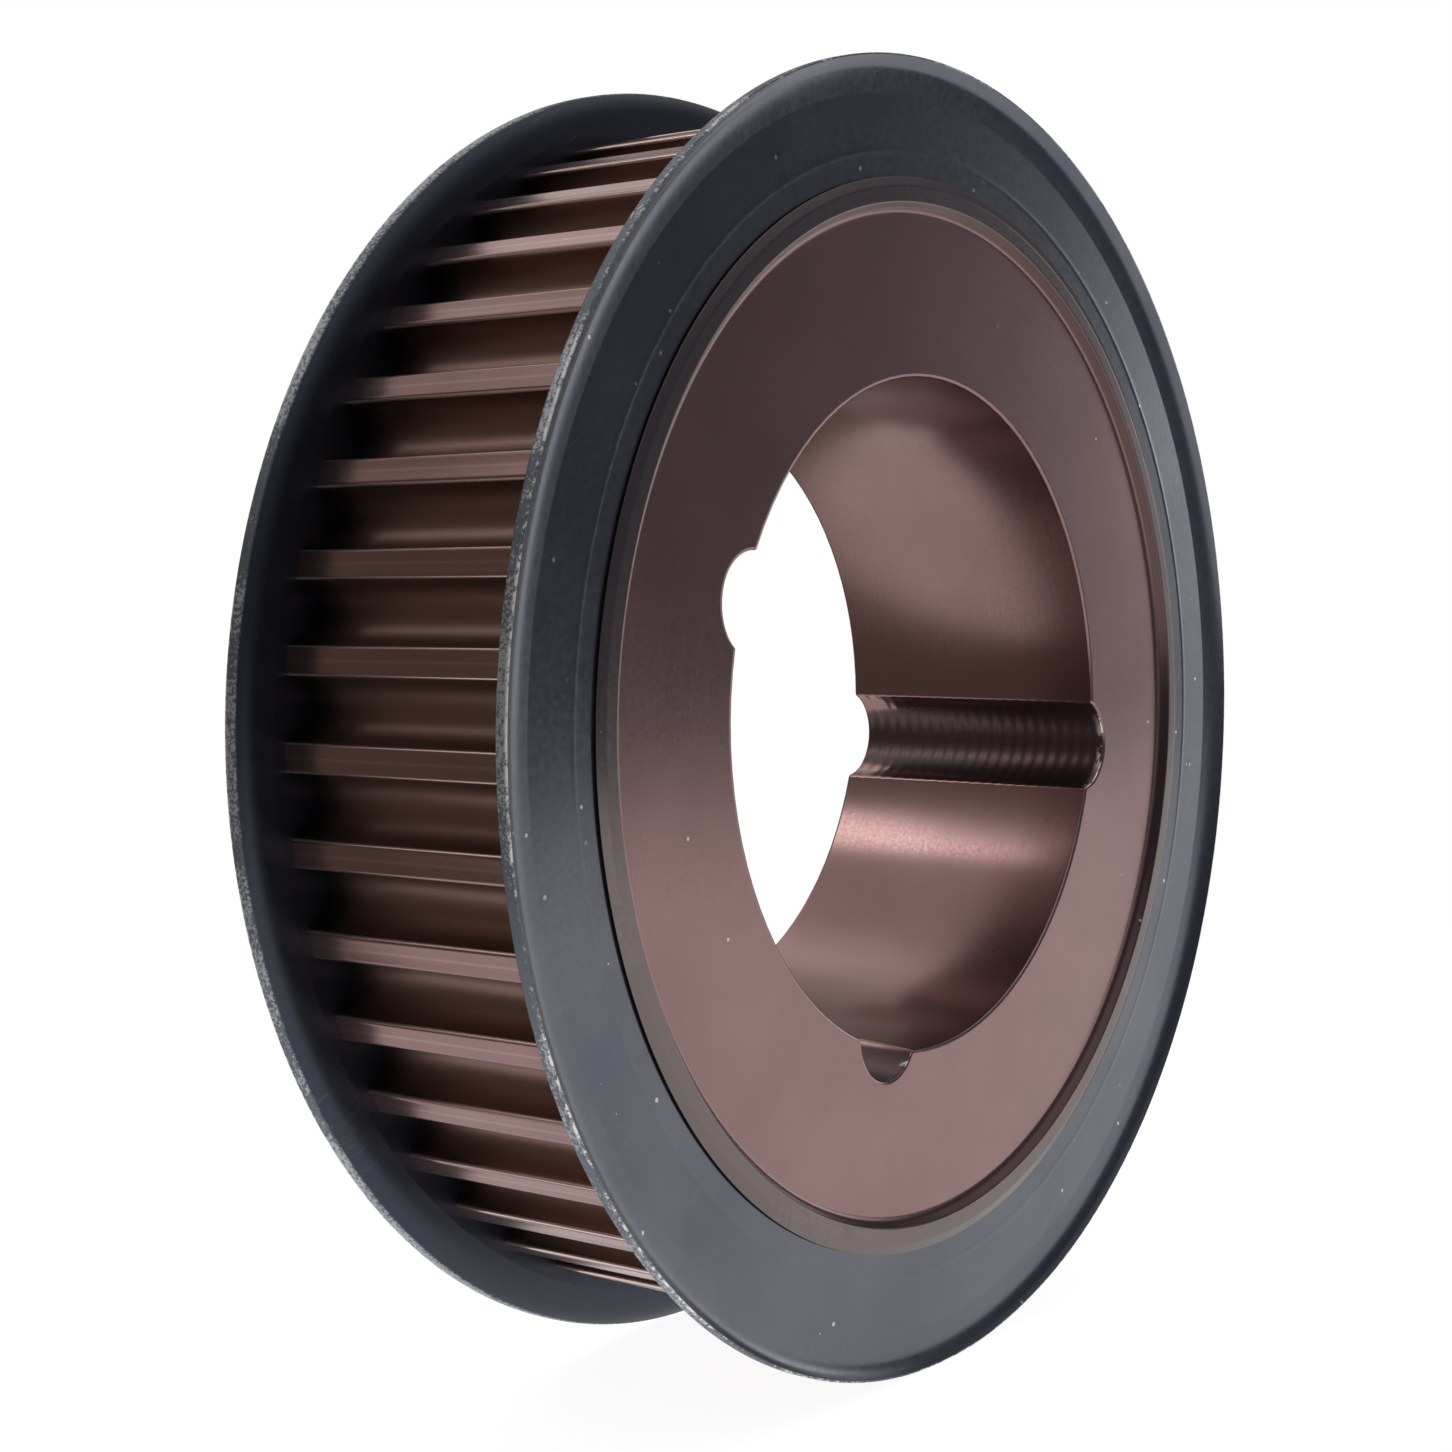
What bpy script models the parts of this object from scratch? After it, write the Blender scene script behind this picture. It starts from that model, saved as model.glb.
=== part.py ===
"""Toothed timing belt pulley with two belt flanges and a tapered bush bore.

The spin axis is the world Y axis and the pulley stands upright on its rims. The
front, with the large end of the bore, faces -Y. The pulley is made lying down,
with its front towards local +Z, and one empty turns it upright.
Sizes are in metres, +Z is up and the origin is the centre of the pulley.
"""

import math

import bmesh
import bpy
from mathutils import Matrix

# Toothed rim: a 14 mm pitch round-groove belt, 44 teeth.
TOOTH_COUNT = 44
TOOTH_PITCH = 0.014
PITCH_LINE_OFFSET = 0.0014          # belt's pitch line above the tooth tips
GROOVE_DEPTH = 0.00602
GROOVE_RADIUS = 0.00457             # round bottom of a groove
GROOVE_ARC_STEPS = 6
TIP_CHAMFER = 0.0008                # eased corner of a tooth
FLANK_SPREAD = 0.00012              # a flank opens this much towards the mouth
TOOTH_PHASE = math.radians(2.6)     # angle of one tooth, up from +X
TOOTH_HALF_WIDTH = 0.0225           # half of the toothed width

# Belt flanges: pressed sheet, flat on the body and flared at the rim.
FLANGE_RADIUS = 0.1045
FLANGE_HALF_SPAN = 0.0265           # rim plane, from the pulley's middle
SHEET = 0.0020
SEAT_OUTSIDE = 0.0248               # outside of the flat seat
SEAT_RADIUS = 0.0896                # the flat seat ends here
FLARE_RADIUS = 0.0988               # the flared rim starts here
FLARE_OUTSIDE = 0.02505
RIM_ROUND = 0.0004

# Body ends: a rolled lip holds each flange, inside it the web is recessed.
GAP = 0.0003                        # left between touching pieces
SPIGOT_RADIUS = 0.0840
LIP_OUTER_RADIUS = 0.0855
LIP_EDGE = 0.00015                  # height of the lip's outer edge
LIP_BEVEL = 0.0015                  # rolled outer shoulder of the lip
LIP_INNER_RADIUS = 0.0815
LIP_TOP = 0.02575
LIP_FOOT_RADIUS = 0.0803            # the lip slopes down to the web here
WEB_FACE = 0.0243

# Tapered bore for a clamping bush, large end at the front.
BORE_RADIUS = 0.053975
TAPER = math.radians(4.0)           # each side
SCREW_RADIUS = 0.0079375            # 5/8 inch screws
SCREW_CIRCLE = 0.0512               # at the front face
SCREW_SPREAD = math.radians(95.7)   # clamping screws, each side of the jacking hole
JACKING_ANGLE = math.radians(-104.1)
JACKING_DEPTH = 0.030
DRILL_CONE = 0.0045
SCREW_SIDES = 28

RING_STEPS = 2 * TOOTH_COUNT        # facets around every turned shape
CUT_MARGIN = 0.002                  # how far a cutter runs past a face

COLOURS = {
    "pulley_body": ((0.118, 0.080, 0.076, 1.0), 0.55, 0.50),
    "front_flange": ((0.045, 0.048, 0.062, 1.0), 0.40, 0.70),
    "rear_flange": ((0.045, 0.048, 0.062, 1.0), 0.40, 0.70),
}


def clear_scene():
    for obj in list(bpy.data.objects):
        bpy.data.objects.remove(obj, do_unlink=True)


def make_collection(name):
    collection = bpy.data.collections.new(name)
    bpy.context.scene.collection.children.link(collection)
    return collection


def make_material(name):
    colour, roughness, metallic = COLOURS[name]
    material = bpy.data.materials.new(name)
    material.use_nodes = True
    shader = material.node_tree.nodes["Principled BSDF"]
    shader.inputs["Base Color"].default_value = colour
    shader.inputs["Roughness"].default_value = roughness
    shader.inputs["Metallic"].default_value = metallic
    material.diffuse_color = colour
    return material


def make_axis(collection):
    """The empty that turns local +Z, the pulley's front, to world -Y."""
    axis = bpy.data.objects.new("spin_axis", None)
    axis.rotation_euler = (math.radians(90.0), 0.0, 0.0)
    collection.objects.link(axis)
    return axis


def turned_mesh(name, profile, steps, closed):
    """Spin a profile of (radius, height) points about local Z into a closed mesh."""
    mesh = bpy.data.meshes.new(name + "_profile")
    points = [(radius, 0.0, height) for radius, height in profile]
    edges = [(i, i + 1) for i in range(len(points) - 1)]
    if closed:
        edges.append((len(points) - 1, 0))
    mesh.from_pydata(points, edges, [])
    guide = bpy.data.objects.new(name + "_guide", mesh)
    bpy.context.scene.collection.objects.link(guide)
    screw = guide.modifiers.new("turn", "SCREW")
    screw.axis = "Z"
    screw.angle = 2.0 * math.pi
    screw.steps = steps
    screw.render_steps = steps
    screw.use_merge_vertices = True
    screw.merge_threshold = 0.00001
    return mesh_from(guide, name)


def mesh_from(guide, name):
    """Take an object's evaluated mesh, weld it, and remove the object."""
    bpy.context.view_layer.update()
    evaluated = guide.evaluated_get(bpy.context.evaluated_depsgraph_get())
    mesh = bpy.data.meshes.new_from_object(evaluated)
    mesh.name = name
    data = bmesh.new()
    data.from_mesh(mesh)
    bmesh.ops.remove_doubles(data, verts=data.verts, dist=0.00001)
    data.to_mesh(mesh)
    data.free()
    bpy.data.objects.remove(guide, do_unlink=True)
    return mesh


def extruded_mesh(name, outline, half_length):
    """Fill a flat outline and give it thickness along local Z."""
    curve = bpy.data.curves.new(name, "CURVE")
    curve.dimensions = "2D"
    curve.fill_mode = "BOTH"
    curve.extrude = half_length
    spline = curve.splines.new("POLY")
    spline.points.add(len(outline) - 1)
    for point, (x, y) in zip(spline.points, outline):
        point.co = (x, y, 0.0, 1.0)
    spline.use_cyclic_u = True
    guide = bpy.data.objects.new(name + "_guide", curve)
    bpy.context.scene.collection.objects.link(guide)
    return mesh_from(guide, name)


def place(name, mesh, collection, axis, turn=(0.0, 0.0, 0.0)):
    obj = bpy.data.objects.new(name, mesh)
    obj.parent = axis
    obj.rotation_euler = turn
    collection.objects.link(obj)
    return obj


def make_cutter(name, mesh, collection, axis, turn=(0.0, 0.0, 0.0)):
    cutter = place(name, mesh, collection, axis, turn)
    cutter.hide_render = True
    cutter.display_type = "WIRE"
    return cutter


def finish_part(obj, material):
    obj.data.materials.clear()
    obj.data.materials.append(material)
    obj.data.shade_smooth()
    obj.data.set_sharp_from_angle(angle=math.radians(25.0))


def tip_radius():
    """Tooth tips lie a fixed distance under the belt's pitch line."""
    return TOOTH_COUNT * TOOTH_PITCH / (2.0 * math.pi) - PITCH_LINE_OFFSET


def body_end():
    """The profile of one end, from the tooth tips in to the bore's edge."""
    return [
        (tip_radius(), TOOTH_HALF_WIDTH),
        (SPIGOT_RADIUS, TOOTH_HALF_WIDTH),
        (SPIGOT_RADIUS, SEAT_OUTSIDE + GAP),
        (LIP_OUTER_RADIUS, SEAT_OUTSIDE + GAP),
        (LIP_OUTER_RADIUS, SEAT_OUTSIDE + GAP + LIP_EDGE),
        (LIP_OUTER_RADIUS - LIP_BEVEL, LIP_TOP),
        (LIP_INNER_RADIUS, LIP_TOP),
        (LIP_FOOT_RADIUS, WEB_FACE),
    ]


def body_profile():
    """Down the outside from the front tip, then up through the tapered bore."""
    front = body_end()
    rear = [(radius, -height) for radius, height in front]
    far_bore = BORE_RADIUS - 2.0 * WEB_FACE * math.tan(TAPER)
    bore = [(far_bore, -WEB_FACE), (BORE_RADIUS, WEB_FACE)]
    return rear + bore + front[::-1]


def groove_outline():
    """One belt groove along +X: eased mouth, flanks and a round bottom."""
    tip = tip_radius()
    centre = tip - GROOVE_DEPTH + GROOVE_RADIUS
    shoulder = tip - TIP_CHAMFER
    shoulder_half = GROOVE_RADIUS + FLANK_SPREAD
    outside = tip + TIP_CHAMFER
    outside_half = shoulder_half + 2.0 * TIP_CHAMFER
    points = [(outside, outside_half), (shoulder, shoulder_half)]
    for i in range(GROOVE_ARC_STEPS + 1):
        angle = math.pi / 2.0 + math.pi * i / GROOVE_ARC_STEPS
        points.append((centre + GROOVE_RADIUS * math.cos(angle),
                       GROOVE_RADIUS * math.sin(angle)))
    points += [(shoulder, -shoulder_half), (outside, -outside_half)]
    return points


def groove_cutter(collection, axis):
    """All grooves in one cutter, one half pitch away from the teeth."""
    one = extruded_mesh("groove", groove_outline(), TOOTH_HALF_WIDTH + CUT_MARGIN)
    data = bmesh.new()
    for i in range(TOOTH_COUNT):
        copy = one.copy()
        angle = TOOTH_PHASE + 2.0 * math.pi * (i + 0.5) / TOOTH_COUNT
        copy.transform(Matrix.Rotation(angle, 4, "Z"))
        data.from_mesh(copy)
        bpy.data.meshes.remove(copy)
    mesh = bpy.data.meshes.new("grooves")
    data.to_mesh(mesh)
    data.free()
    bpy.data.meshes.remove(one)
    return make_cutter("groove_cutter", mesh, collection, axis)


def screw_hole_mesh(name, bottom, cone):
    """A round hole from above the front face down to bottom, with a drill point."""
    top = CUT_MARGIN
    profile = [(0.0, top), (SCREW_RADIUS, top), (SCREW_RADIUS, bottom)]
    profile.append((0.0, bottom - cone))
    return turned_mesh(name, profile, SCREW_SIDES, closed=False)


def hole_place(angle):
    """At the front end of the bore, leaning in with its taper."""
    lean = Matrix.Rotation(TAPER, 4, "Y")
    move = Matrix.Translation((SCREW_CIRCLE, 0.0, WEB_FACE))
    return Matrix.Rotation(angle, 4, "Z") @ move @ lean


def screw_cutters(collection, axis):
    """Two clamping holes go right through, the jacking hole is blind."""
    length = 2.0 * WEB_FACE + CUT_MARGIN
    holes = [
        ("clamp_hole_a", JACKING_ANGLE + SCREW_SPREAD, -length, 0.0),
        ("clamp_hole_b", JACKING_ANGLE - SCREW_SPREAD, -length, 0.0),
        ("jacking_hole", JACKING_ANGLE, -JACKING_DEPTH, DRILL_CONE),
    ]
    cutters = []
    for name, angle, bottom, cone in holes:
        mesh = screw_hole_mesh(name, bottom, cone)
        mesh.transform(hole_place(angle))
        cutters.append(make_cutter(name, mesh, collection, axis))
    return cutters


def add_cut(obj, cutter):
    cut = obj.modifiers.new(cutter.name, "BOOLEAN")
    cut.operation = "DIFFERENCE"
    cut.solver = "EXACT"
    cut.object = cutter


def make_body(parts, cutters, axis):
    """The blank is turned, then the grooves and the screw holes are cut."""
    mesh = turned_mesh("pulley_body", body_profile(), RING_STEPS, closed=True)
    mesh.transform(Matrix.Rotation(TOOTH_PHASE, 4, "Z"))
    body = place("pulley_body", mesh, parts, axis)
    finish_part(body, make_material("pulley_body"))
    add_cut(body, groove_cutter(cutters, axis))
    for cutter in screw_cutters(cutters, axis):
        add_cut(body, cutter)


def flange_profile():
    """Down the outer edge of the rim, back along the belt side, up the hole."""
    hole = SPIGOT_RADIUS + GAP
    rim_inside = FLANGE_HALF_SPAN - SHEET
    return [
        (FLANGE_RADIUS, FLANGE_HALF_SPAN - RIM_ROUND),
        (FLANGE_RADIUS, rim_inside + RIM_ROUND),
        (FLANGE_RADIUS - RIM_ROUND, rim_inside),
        (FLARE_RADIUS, FLARE_OUTSIDE - SHEET),
        (SEAT_RADIUS, SEAT_OUTSIDE - SHEET),
        (hole, SEAT_OUTSIDE - SHEET),
        (hole, SEAT_OUTSIDE),
        (SEAT_RADIUS, SEAT_OUTSIDE),
        (FLARE_RADIUS, FLARE_OUTSIDE),
        (FLANGE_RADIUS - RIM_ROUND, FLANGE_HALF_SPAN),
    ]


def make_flanges(parts, axis):
    """The same pressing at both ends, the rear one turned over."""
    for name, turn in (("front_flange", 0.0), ("rear_flange", math.pi)):
        mesh = turned_mesh(name, flange_profile(), RING_STEPS, closed=True)
        flange = place(name, mesh, parts, axis, (turn, 0.0, 0.0))
        finish_part(flange, make_material(name))


def main():
    clear_scene()
    parts = make_collection("timing_belt_pulley")
    cutters = make_collection("cutters")
    axis = make_axis(parts)
    make_body(parts, cutters, axis)
    make_flanges(parts, axis)


main()
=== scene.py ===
import bpy
import numpy as np
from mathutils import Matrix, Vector


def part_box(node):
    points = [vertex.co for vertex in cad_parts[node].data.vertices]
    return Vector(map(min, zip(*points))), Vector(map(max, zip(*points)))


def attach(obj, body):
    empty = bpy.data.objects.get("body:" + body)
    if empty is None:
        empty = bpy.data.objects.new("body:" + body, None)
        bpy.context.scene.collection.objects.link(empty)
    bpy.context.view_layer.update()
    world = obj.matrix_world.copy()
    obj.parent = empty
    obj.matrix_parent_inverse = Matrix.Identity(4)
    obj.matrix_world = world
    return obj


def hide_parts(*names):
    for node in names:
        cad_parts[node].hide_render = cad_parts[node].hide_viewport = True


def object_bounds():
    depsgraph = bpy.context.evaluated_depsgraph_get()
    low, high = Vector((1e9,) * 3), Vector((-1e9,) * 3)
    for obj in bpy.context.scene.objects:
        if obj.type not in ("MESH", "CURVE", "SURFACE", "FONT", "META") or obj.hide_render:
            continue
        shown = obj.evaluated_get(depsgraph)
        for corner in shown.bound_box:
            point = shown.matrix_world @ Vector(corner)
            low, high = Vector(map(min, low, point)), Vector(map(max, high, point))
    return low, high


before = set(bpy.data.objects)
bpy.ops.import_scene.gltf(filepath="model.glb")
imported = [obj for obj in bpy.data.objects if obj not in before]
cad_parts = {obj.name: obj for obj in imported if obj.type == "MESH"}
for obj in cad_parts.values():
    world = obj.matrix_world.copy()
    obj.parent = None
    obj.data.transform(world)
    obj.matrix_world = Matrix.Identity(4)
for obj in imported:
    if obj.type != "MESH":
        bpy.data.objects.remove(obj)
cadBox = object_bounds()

# The pulley stands on its flanges, its axle along Y, its front face towards -Y.
# Piece sizes below are in millimetres, counted outwards from the middle of the width.
mm = 0.001
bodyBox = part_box("pulley_body")
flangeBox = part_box("front_flange")
rimRadius = (flangeBox[1].x - flangeBox[0].x) / 2 / mm
rimFace = -flangeBox[0].y / mm
lipFace = bodyBox[1].y / mm
floorHeight = cadBox[0].z


def roundedOutline(corners, radii, arcSteps=4, support=0.3):
    # Each corner but the two ends becomes an arc that touches both its sides: the arc's
    # centre is on the bisector at radius / sin(half the corner), and its points swing
    # evenly from one touching point to the other. One more point along each side keeps
    # the flats flat.
    corners = np.asarray(corners, float)
    before, middle, after = corners[:-2], corners[1:-1], corners[2:]
    radii = np.broadcast_to(np.asarray(radii, float), len(middle))
    backLength = np.linalg.norm(before - middle, axis=1)
    aheadLength = np.linalg.norm(after - middle, axis=1)
    back = (before - middle) / backLength[:, None]
    ahead = (after - middle) / aheadLength[:, None]
    half = np.arccos(np.clip((back * ahead).sum(1), -1, 1)) / 2
    reach = radii / np.tan(half)
    bisector = (back + ahead) / np.linalg.norm(back + ahead, axis=1)[:, None]
    centre = middle + bisector * (radii / np.sin(half))[:, None]
    first = middle + back * reach[:, None] - centre
    last = middle + ahead * reach[:, None] - centre
    sweep = (np.pi - 2 * half)[:, None, None]
    t = np.linspace(0, 1, arcSteps + 1)[None, :, None]
    swing = np.sin((1 - t) * sweep) * first[:, None] + np.sin(t * sweep) * last[:, None]
    arc = centre[:, None] + swing / np.sin(sweep)
    reachBefore, reachAfter = np.roll(reach, 1), np.roll(reach, -1)
    reachBefore[0] = reachAfter[-1] = 0
    backSpare = np.minimum(support, (backLength - reach - reachBefore) / 3)
    aheadSpare = np.minimum(support, (aheadLength - reach - reachAfter) / 3)
    lead = middle + back * (reach + backSpare)[:, None]
    trail = middle + ahead * (reach + aheadSpare)[:, None]
    path = np.concatenate([lead[:, None], arc, trail[:, None]], 1).reshape(-1, 2)
    return np.vstack([corners[:1], path, corners[-1:]])


def turned(radius, along, angle):
    # A point at (radius cos angle, along, radius sin angle), whole arrays at once.
    radius, along, angle = np.broadcast_arrays(radius, along, angle)
    return np.stack([radius * np.cos(angle), along, radius * np.sin(angle)], -1)


def evenAngles(count):
    return np.arange(count) * 2 * np.pi / count


def ringQuads(rows, columns, start, closed=False):
    # Quads from each row of a grid to the next one, going all the way round.
    row = np.arange(rows if closed else rows - 1)[:, None]
    column = np.arange(columns)[None]
    nextRow = (row + 1) % rows * columns
    nextColumn = (column + 1) % columns
    row = row * columns
    quads = [row + column, nextRow + column, nextRow + nextColumn, row + nextColumn]
    return start + np.stack(quads, -1).reshape(-1, 4)


def zipRings(points, ringA, ringB):
    # Joins two rings of different counts: both are put in order of angle, and each step
    # along either ring makes one triangle with the latest point of the other ring.
    angleA = np.arctan2(points[ringA, 2], points[ringA, 0])
    angleB = np.arctan2(points[ringB, 2], points[ringB, 0])
    ringA, ringB = ringA[np.argsort(angleA)], ringB[np.argsort(angleB)]
    order = np.argsort(np.concatenate([np.sort(angleA), np.sort(angleB)]), kind="stable")
    onA = order < len(ringA)
    a, b = np.cumsum(onA) - 1, np.cumsum(~onA) - 1
    stepsA = np.stack([ringA[a - 1], ringB[b], ringA[a]], -1)[onA]
    stepsB = np.stack([ringA[a], ringB[b - 1], ringB[b]], -1)[~onA]
    return np.concatenate([stepsA, stepsB])


def makePiece(name, points, faces, node, material):
    mesh = bpy.data.meshes.new(name)
    mesh.from_pydata((points * mm).tolist(), [], faces)
    mesh.polygons.foreach_set("use_smooth", np.ones(len(mesh.polygons), bool))
    mesh.materials.append(material)
    piece = bpy.data.objects.new(name, mesh)
    bpy.context.scene.collection.objects.link(piece)
    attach(piece, "root")
    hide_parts(node)
    print(name, "has", len(mesh.vertices), "vertices and", len(mesh.polygons), "faces")


# Shader helpers: every node is fed by a number, a colour or another node's output.
def feed(tree, socket, value):
    if isinstance(value, bpy.types.NodeSocket):
        tree.links.new(value, socket)
    elif value is not None:
        socket.default_value = value


def addNode(tree, kind, inputs=None, **settings):
    made = tree.nodes.new(kind)
    for key, value in settings.items():
        setattr(made, key, value)
    for key, value in (inputs or {}).items():
        feed(tree, made.inputs[key], value)
    return made


def addMath(tree, operation, first, second=None, third=None):
    inputs = {0: first, 1: second, 2: third}
    return addNode(tree, "ShaderNodeMath", inputs, operation=operation).outputs[0]


def addStep(tree, value, low, high, least=0.0, most=1.0):
    inputs = {"Value": value, "From Min": low, "From Max": high, "To Min": least, "To Max": most}
    made = addNode(tree, "ShaderNodeMapRange", inputs, interpolation_type="SMOOTHSTEP")
    return made.outputs["Result"]


def addNoise(tree, vector, scale, detail=3.0, roughness=0.55):
    inputs = {"Vector": vector, "Scale": scale, "Detail": detail, "Roughness": roughness}
    return addNode(tree, "ShaderNodeTexNoise", inputs).outputs["Fac"]


def addMix(tree, factor, first, second, blend="MIX"):
    made = addNode(tree, "ShaderNodeMix", data_type="RGBA", blend_type=blend)
    for socket, value in ((0, factor), (6, first), (7, second)):
        feed(tree, made.inputs[socket], value)
    return made.outputs[2]


def addLayer(tree, tone, mask, share, colour):
    # A share of another colour, laid over a tone where the mask is.
    return addMix(tree, addMath(tree, "MULTIPLY", mask, share), tone, colour)


def addBand(tree, value, start, stop):
    # 1 between two soft steps and 0 outside them; each step is (where it is 0, where it is 1).
    return addMath(tree, "MULTIPLY", addStep(tree, value, *start), addStep(tree, value, *stop))


def newGroup(name, inputs, outputs):
    group = bpy.data.node_groups.new(name, "ShaderNodeTree")
    for label, kind, value in inputs:
        socket = group.interface.new_socket(label, in_out="INPUT", socket_type=kind)
        socket.default_value = value
    for label, kind in outputs:
        group.interface.new_socket(label, in_out="OUTPUT", socket_type=kind)
    given = group.nodes.new("NodeGroupInput").outputs
    return group, given, group.nodes.new("NodeGroupOutput").inputs


def useGroup(tree, group, **inputs):
    made = addNode(tree, "ShaderNodeGroup", node_tree=group)
    for key, value in inputs.items():
        feed(tree, made.inputs[key], value)
    return made.outputs


def makeTurnedPlace():
    # Where a point is on a turned part: radius from the axle, height from the middle
    # of the width, both in millimetres, and the direction round the axle.
    outputs = [("Radius", "NodeSocketFloat"), ("Height", "NodeSocketFloat"),
               ("Around", "NodeSocketVector"), ("Object", "NodeSocketVector")]
    group, _, out = newGroup("turnedPlace", [], outputs)
    spot = addNode(group, "ShaderNodeTexCoord").outputs["Object"]
    inMm = addNode(group, "ShaderNodeVectorMath", {0: spot, "Scale": 1 / mm}, operation="SCALE")
    axes = addNode(group, "ShaderNodeSeparateXYZ", {0: inMm.outputs[0]}).outputs
    flat = addNode(group, "ShaderNodeCombineXYZ", {"X": axes["X"], "Z": axes["Z"]}).outputs[0]
    length = addNode(group, "ShaderNodeVectorMath", {0: flat}, operation="LENGTH").outputs["Value"]
    around = addNode(group, "ShaderNodeVectorMath", {0: flat}, operation="NORMALIZE").outputs[0]
    feed(group, out["Radius"], length)
    feed(group, out["Height"], addMath(group, "ABSOLUTE", axes["Y"]))
    feed(group, out["Around"], around)
    feed(group, out["Object"], inMm.outputs[0])
    return group


def makeTurnedGrain(turnedPlace):
    # Fine rings left by the lathe: noise that changes fast along the radius or the
    # height, slowly round the axle.
    inputs = [("Spacing", "NodeSocketFloat", 0.5), ("Drift", "NodeSocketFloat", 1.5)]
    group, given, out = newGroup("turnedGrain", inputs, [("Grain", "NodeSocketFloat")])
    place = useGroup(group, turnedPlace)
    reach = addMath(group, "ADD", place["Radius"], place["Height"])
    rings = addMath(group, "DIVIDE", reach, given["Spacing"])
    slow = addNode(group, "ShaderNodeVectorMath", {0: place["Around"], "Scale": given["Drift"]},
                   operation="SCALE").outputs[0]
    axes = addNode(group, "ShaderNodeSeparateXYZ", {0: slow}).outputs
    spot = addNode(group, "ShaderNodeCombineXYZ", {"X": rings, "Y": axes["X"], "Z": axes["Z"]})
    feed(group, out["Grain"], addNoise(group, spot.outputs[0], 1.0, detail=2.0, roughness=0.6))
    return group


wearPattern = {
    "patchScale": 0.045,      # features per millimetre
    "patchStep": (0.36, 0.64),
    "patchShare": 0.45,
    "grainRoughness": 0.7,
    "grainStep": (0.34, 0.66),
    "grainShare": 0.55,
    "softness": 0.25,
}


def makeEdgeWear(turnedPlace, pattern):
    # Bare metal along an edge: patches of a coarse noise, broken up by a fine one, more
    # of both the nearer the edge is.
    inputs = [("Nearness", "NodeSocketFloat", 0.0), ("Amount", "NodeSocketFloat", 0.5),
              ("Size", "NodeSocketFloat", 0.3)]
    group, given, out = newGroup("edgeWear", inputs, [("Wear", "NodeSocketFloat")])
    spot = useGroup(group, turnedPlace)["Object"]
    patches = addStep(group, addNoise(group, spot, pattern["patchScale"]), *pattern["patchStep"])
    grains = addNoise(group, spot, given["Size"], detail=4.0, roughness=pattern["grainRoughness"])
    grains = addStep(group, grains, *pattern["grainStep"])
    grains = addMath(group, "MULTIPLY", grains, pattern["grainShare"])
    broken = addMath(group, "MULTIPLY_ADD", patches, pattern["patchShare"], grains)
    wanted = addMath(group, "SUBTRACT", 1.0, given["Amount"])
    over = addMath(group, "SUBTRACT", broken, wanted)
    wear = addStep(group, over, 0.0, pattern["softness"])
    feed(group, out["Wear"], addMath(group, "MULTIPLY", wear, given["Nearness"]))
    return group


def makeSpecks(turnedPlace):
    # Dust and nicks on the faces: a few random cells, seen along the axle, get a small
    # round dot at their centre, of 0.3 to 1.3 times the size.
    inputs = [("Scale", "NodeSocketFloat", 0.2), ("Share", "NodeSocketFloat", 0.1),
              ("Size", "NodeSocketFloat", 0.1)]
    group, given, out = newGroup("specks", inputs, [("Mask", "NodeSocketFloat")])
    spot = useGroup(group, turnedPlace)["Object"]
    flat = addNode(group, "ShaderNodeVectorMath", {0: spot, 1: (1, 0, 1)}, operation="MULTIPLY")
    inputs = {"Vector": flat.outputs[0], "Scale": given["Scale"]}
    cells = addNode(group, "ShaderNodeTexVoronoi", inputs).outputs
    chance = addNode(group, "ShaderNodeSeparateColor", {0: cells["Color"]}).outputs
    chosen = addMath(group, "LESS_THAN", chance[0], given["Share"])
    size = addMath(group, "MULTIPLY", given["Size"], addMath(group, "ADD", chance[1], 0.3))
    dot = addMath(group, "LESS_THAN", cells["Distance"], size)
    feed(group, out["Mask"], addMath(group, "MULTIPLY", chosen, dot))
    return group


scratchPattern = {
    "stretch": (0.02, 0.2, 1.3),   # features per millimetre along X, Y and Z
    "patchScale": 0.035,
    "patchFull": 0.8,
    "halfWidth": 0.006,            # in steps of the noise
}


def makeScratches(turnedPlace, pattern):
    # Hairline marks: thin bands of a stretched noise, shown only in some patches.
    inputs = [("Turn", "NodeSocketFloat", 0.6), ("Share", "NodeSocketFloat", 0.5)]
    group, given, out = newGroup("scratches", inputs, [("Mask", "NodeSocketFloat")])
    spot = useGroup(group, turnedPlace)["Object"]
    rotated = addNode(group, "ShaderNodeVectorRotate", {"Vector": spot, "Angle": given["Turn"]},
                      rotation_type="Y_AXIS").outputs[0]
    drawn = addNode(group, "ShaderNodeVectorMath", {0: rotated, 1: pattern["stretch"]},
                    operation="MULTIPLY")
    fibre = addNoise(group, drawn.outputs[0], 1.0, detail=2.0, roughness=0.5)
    line = addMath(group, "ABSOLUTE", addMath(group, "SUBTRACT", fibre, 0.5))
    patches = addNoise(group, rotated, pattern["patchScale"], detail=2.0)
    patches = addStep(group, patches, given["Share"], pattern["patchFull"])
    thin = addStep(group, line, pattern["halfWidth"], 0.0)
    feed(group, out["Mask"], addMath(group, "MULTIPLY", thin, patches))
    return group


turnedPlace = makeTurnedPlace()
turnedGrain = makeTurnedGrain(turnedPlace)
edgeWear = makeEdgeWear(turnedPlace, wearPattern)
specks = makeSpecks(turnedPlace)
scratches = makeScratches(turnedPlace, scratchPattern)


def newMaterial(name):
    material = bpy.data.materials.new(name)
    material.use_nodes = True
    tree = material.node_tree
    return material, tree, tree.nodes["Principled BSDF"]


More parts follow.
